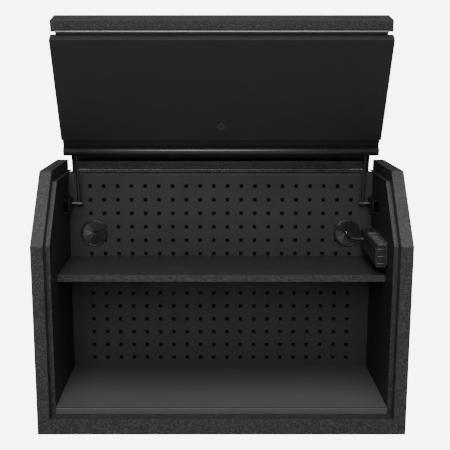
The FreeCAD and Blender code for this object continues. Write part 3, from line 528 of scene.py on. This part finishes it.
# ---- front edge of the floor liner ---------------------------------------------------------
def mat_front_edge():
    """Liner's turned-down front edge.

    The side outline is a strip 0.9 mm thick that runs forward along the floor, turns down
    through a quarter circle of radius 2 and ends above the bottom rail. It is carried
    straight across between the two side stops.
    """
    thick, bend = 0.9, 2.0
    turn = np.linspace(0.0, math.pi / 2, 8)
    outer = bend * np.stack([-np.sin(turn), np.cos(turn)], axis=1)
    inner = outer[::-1] * (bend - thick) / bend
    hub = np.array([LINER_FRONT - thick + bend, FLOOR_TOP - bend])
    start = LINER_FRONT + 5.0
    side = np.concatenate([[(start, FLOOR_TOP)], hub + outer, [(LINER_FRONT - thick, LINER_LOW)],
                           [(LINER_FRONT - 0.02, LINER_LOW)], hub + inner,
                           [(start, FLOOR_TOP - thick)]])
    x = np.array([-1.0, 1.0]) * (PANEL_HALF - 0.4)
    rings = np.concatenate([np.broadcast_to(x[:, None, None], (2, len(side), 1)),
                            np.broadcast_to(side, (2, len(side), 2))], axis=2)
    faces = grid_faces(2, len(side), wrap_cols=True).tolist()
    ends = [list(range(len(side))), list(range(2 * len(side) - 1, len(side) - 1, -1))]
    add_piece("mat_front_edge", placed(rings).reshape(-1, 3), faces + ends, "mat_grey", "cabinet")


# ---- power strip ---------------------------------------------------------------------------
STRIP_FACE_X = 393.0
STRIP_FRONT = 130.0 - HALF_DEPTH
OUTLET_START = STRIP_FRONT + 23.0
OUTLET_PITCH = 39.5
OUTLET_Y = [OUTLET_START + OUTLET_PITCH * k for k in range(5)]
OUTLET_Z = 429.75
OUTLET_R = 16.7
RIB_SPACING = 18.75


def outlet_pads():
    """Raised square pad round each outlet.

    A frame between a rounded square of half width 18.6 and a circle of radius 16.7, whose
    height over the case follows a quarter-circle edge on both sides.
    """
    outer = rounded_outline(18.6, 21.5, 4.0, per_corner=8)
    around = np.arctan2(outer[:, 1], outer[:, 0])
    inner = OUTLET_R * np.stack([np.cos(around), np.sin(around)], axis=1)
    across = np.array([0.0, 0.02, 0.08, 0.16, 0.84, 0.92, 0.98, 1.0])
    rise = np.array([-0.4, 0.9, 1.5, 1.7, 1.7, 1.5, 0.9, -0.4])
    for number, y in enumerate(OUTLET_Y, start=1):
        uv = outer[None] + (inner - outer)[None] * across[:, None, None]
        x = np.broadcast_to((STRIP_FACE_X - rise)[:, None], uv.shape[:2])
        rings = placed(np.stack([x, y + uv[:, :, 0], OUTLET_Z + uv[:, :, 1]], axis=2))
        faces = grid_faces(len(across), len(outer), wrap_rows=True, wrap_cols=True)
        add_piece(f"outlet_pad_{number}", rings.reshape(-1, 3), faces, "strip_black", "cabinet")


def end_cap_ribs():
    """Three half-round ribs across the strip's front end cap, closed at both ends."""
    angle = np.linspace(0.0, 2.0 * math.pi, 12, endpoint=False)
    x = np.linspace(396.0, 415.0, 9)
    share = np.abs(np.linspace(-1.0, 1.0, 9))
    radius = 1.1 * np.sqrt(np.clip(1.0 - share ** 8, 0.05, 1.0))
    for number in (1, 2, 3):
        z = OUTLET_Z + (number - 2) * RIB_SPACING
        ring_y = STRIP_FRONT + radius[:, None] * np.cos(angle)[None, :]
        ring_z = z + radius[:, None] * np.sin(angle)[None, :]
        rings = np.stack([np.broadcast_to(x[:, None], ring_y.shape), ring_y, ring_z], axis=2)
        points, faces = capped_tube(placed(rings))
        add_piece(f"end_cap_rib_{number}", points, faces, "strip_metal", "cabinet")


# ---- power lead ----------------------------------------------------------------------------
CORD = 0.0066
ROUTE = [(0.382, 0.1075, 0.437), (0.370, 0.108, 0.4375), (0.358, 0.1145, 0.4395),
         (0.351, 0.127, 0.442), (0.3496, 0.1455, 0.4436), (0.3499, 0.1725, 0.444),
         (0.3492, 0.2075, 0.443), (0.3484, 0.2415, 0.438), (0.3478, 0.2665, 0.414),
         (0.347, 0.2755, 0.370), (0.3456, 0.2785, 0.310), (0.3464, 0.2775, 0.244),
         (0.349, 0.2765, 0.180), (0.352, 0.2785, 0.122), (0.3515, 0.2845, 0.072),
         (0.347, 0.2995, 0.032), (0.336, 0.3225, 0.009), (0.318, 0.3445, 0.004),
         (0.294, 0.3585, 0.0034)]
COIL_CENTRE = (0.268, 0.3219)
COIL_RADII = (0.0416, 0.0350, 0.0284, 0.0284, 0.0350, 0.0416)
PLUG_ANGLE = 140.0
COIL_END = 0.028
REST = 0.0034
TURN_POINTS = 16
GLAND_FACE_X = 0.3929


def coil_points():
    """Control points of the coil, from the route's end anticlockwise to the plug's tail.

    Angle goes on past 90 degrees in equal steps. The radius is the turn's own, and eases to
    the next turn's over its last sixth. The height steps up by a diameter in the third turn.
    """
    turns = len(COIL_RADII) - 1
    total = turns * TURN_POINTS + round((PLUG_ANGLE - 90.0) / 360.0 * TURN_POINTS)
    swept = np.arange(total + 1) / TURN_POINTS
    turn = np.minimum(swept.astype(int), turns)
    ease = np.clip((swept - turn - 0.84) / 0.16, 0.0, 1.0)
    radii = np.array(COIL_RADII)
    after = radii[np.minimum(turn + 1, turns)]
    radius = radii[turn] + (after - radii[turn]) * ease
    radius = radius * 2.0 / (1.0 + math.cos(math.pi / TURN_POINTS))
    angle = math.radians(90.0) + 2.0 * math.pi * swept
    lift = REST + CORD * np.clip((swept - 2.72) / 0.26, 0.0, 1.0)
    points = np.stack([COIL_CENTRE[0] + radius * np.cos(angle),
                       COIL_CENTRE[1] + radius * np.sin(angle), lift], axis=1)
    return points.tolist()


def plug_frame():
    """Point where the cord leaves the coil, and its direction from there."""
    a = math.radians(PLUG_ANGLE)
    r = COIL_RADII[-1]
    start = Vector((COIL_CENTRE[0] + r * math.cos(a), COIL_CENTRE[1] + r * math.sin(a),
                    REST + CORD))
    return start, Vector((-math.sin(a), math.cos(a), 0.0))


def power_lead():
    start, ahead = plug_frame()
    tail = [tuple(start + ahead * (COIL_END * share)) for share in (0.45, 1.0)]
    points = ROUTE + coil_points() + tail
    curve = bpy.data.curves.new("power_lead_cord", "CURVE")
    curve.dimensions = "3D"
    line = curve.splines.new("NURBS")
    line.points.add(len(points) - 1)
    for spot, point in zip(line.points, points):
        spot.co = (*point, 1.0)
    line.order_u = 3
    line.use_endpoint_u = True
    line.resolution_u = 5
    curve.bevel_depth = CORD / 2
    curve.bevel_resolution = 4
    curve.use_fill_caps = True
    curve.materials.append(FINISH["lead_black"])
    cord = bpy.data.objects.new("power_lead_cord", curve)
    bpy.context.scene.collection.objects.link(cord)
    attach(cord, "cabinet")
    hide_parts("power_lead", "lead_coil")
    return cord


def centre_line(cord):
    """Points along the cord's own spline, read from it without its thickness."""
    bare = cord.data.copy()
    bare.bevel_depth = 0.0
    holder = bpy.data.objects.new("bare_line", bare)
    mesh = bpy.data.meshes.new_from_object(holder)
    spots = np.empty(len(mesh.vertices) * 3)
    mesh.vertices.foreach_get("co", spots)
    bpy.data.objects.remove(holder)
    bpy.data.curves.remove(bare)
    bpy.data.meshes.remove(mesh)
    return spots.reshape(-1, 3)


def cord_boot(line):
    """Ribbed strain relief: rings across the cord's line, whose radius tapers from the
    gland to the cord and dips between the ribs as a raised cosine."""
    steps = np.linalg.norm(np.diff(line, axis=0), axis=1)
    along = np.concatenate([[0.0], np.cumsum(steps)])
    reach, gland_r, rib, flange_r = 0.022, 0.0062, 0.0007, 0.008
    lead_in = GLAND_FACE_X - line[0, 0]
    stations = np.linspace(-lead_in, reach, 44)
    inside = np.clip(stations, 0.0, None)
    spot = np.stack([np.interp(inside, along, line[:, k]) for k in range(3)], axis=1)
    spot[:, 0] -= np.minimum(stations, 0.0)
    ahead = np.gradient(spot, axis=0)
    ahead /= np.linalg.norm(ahead, axis=1)[:, None]
    up = np.array([0.0, 0.0, 1.0])
    across = np.cross(ahead, up)
    across /= np.linalg.norm(across, axis=1)[:, None]
    over = np.cross(across, ahead)
    share = (stations + lead_in) / (reach + lead_in)
    radius = gland_r + (CORD / 2 + rib - gland_r) * share
    radius -= rib * (0.5 - 0.5 * np.cos(share * 2.0 * math.pi * 6.0)) * (share > 0.12)
    radius = np.where(share < 0.1, flange_r, radius)
    angle = np.linspace(0.0, 2.0 * math.pi, 24, endpoint=False)
    ring = (np.cos(angle)[None, :, None] * across[:, None, :]
            + np.sin(angle)[None, :, None] * over[:, None, :])
    rings = spot[:, None, :] + radius[:, None, None] * ring
    points, faces = capped_tube(rings)
    return add_piece("cord_boot", points, faces, "soft_black", "cabinet", ("strain_relief",),
                     smooth=50.0)


def moulded_plug():
    """Three-pin plug: cross-sections from a circle at the neck to a rounded rectangle.

    Half width and half height grow along the neck, with five grip ribs, and the body's
    front edge is eased over its last 2 mm.
    """
    start, ahead = plug_frame()
    across = Vector((-ahead.y, ahead.x, 0.0))
    neck, body = 40.0, 34.0
    collar, flare, body_w, body_h = 4.5, 3.0, 14.0, 9.7
    s = np.concatenate([np.linspace(0.0, neck, 46), neck + np.linspace(1.0, body - 2.0, 10),
                        neck + body - 2.0 + 2.0 * np.sin(np.linspace(0.2, math.pi / 2, 5))])
    share = np.clip(s / neck, 0.0, 1.0)
    grow = share ** 3
    half_w = collar + flare * share + (body_w - collar - flare) * grow
    half_h = collar + flare * share + (body_h - collar - flare) * grow
    ribs = 0.6 * (0.5 - 0.5 * np.cos(share * 2.0 * math.pi * 7.0)) * (share < 0.86)
    half_w, half_h = half_w - ribs, half_h - ribs
    over = np.clip((s - (neck + body - 2.0)) / 2.0, 0.0, 1.0)
    ease = 2.0 - np.sqrt(4.0 - (2.0 * over) ** 2)
    half_w, half_h = half_w - ease, half_h - ease
    squareness = (2.0 + 3.0 * grow)[:, None]
    angle = np.linspace(0.0, 2.0 * math.pi, 40, endpoint=False)[None, :]
    cos, sin = np.cos(angle), np.sin(angle)
    u = half_w[:, None] * np.sign(cos) * np.abs(cos) ** (2.0 / squareness)
    v = half_h[:, None] * np.sign(sin) * np.abs(sin) ** (2.0 / squareness)
    base = np.array(start)[None, None, :]
    along = (COIL_END + s * MM)[:, None, None] * np.array(ahead)
    rings = (base + along + u[:, :, None] * MM * np.array(across)
             + v[:, :, None] * MM * np.array((0.0, 0.0, 1.0)))
    points, faces = capped_tube(rings)
    return add_piece("moulded_plug", points, faces, "lead_black", "cabinet", ("power_plug",),
                     smooth=45.0)


# ---- everything together -------------------------------------------------------------------
set_camera()
set_studio()

SLOT_OF = {part["node"]: part["material_slot"] for part in frame["record"]["subparts"]}
for node, piece in NODES.items():
    piece.data.materials.clear()
    piece.data.materials.append(FINISH[SLOT_OF[node]])

lead = power_lead()
lead_line = centre_line(lead)
boot = cord_boot(lead_line)
plug = moulded_plug()

pull_bar()
mat_front_edge()
outlet_pads()
end_cap_ribs()
star_grommet(1.0, "star_grommet_right", "grommet_right")
star_grommet(-1.0, "star_grommet_left", "grommet_left")

EASED = {"side_shell_left": 0.5, "side_shell_right": 0.5, "floor_pan": 0.5, "rear_rail": 0.4,
         "shelf": 0.5, "lid_shell": 0.5, "door_shell": 0.5, "lid_badge_left": 0.35,
         "lid_badge_right": 0.35, "wall_bracket_left": 0.4, "wall_bracket_right": 0.4,
         "lid_strut_bracket_left": 0.5, "lid_strut_bracket_right": 0.5, "floor_mat": 0.6,
         "door_inner_panel": 0.4, "strip_plate": 0.5, "strip_clips": 0.4}
# The door shell gets the darker copy of the hammered black paint, as painted shade on its
# down-facing face.
DOOR_SHADE_FINISH = {"door_shell": "door_shaded_black"}
for node, width in EASED.items():
    eased(node, SLOT_OF[node], width * MM, DOOR_SHADE_FINISH.get(node))
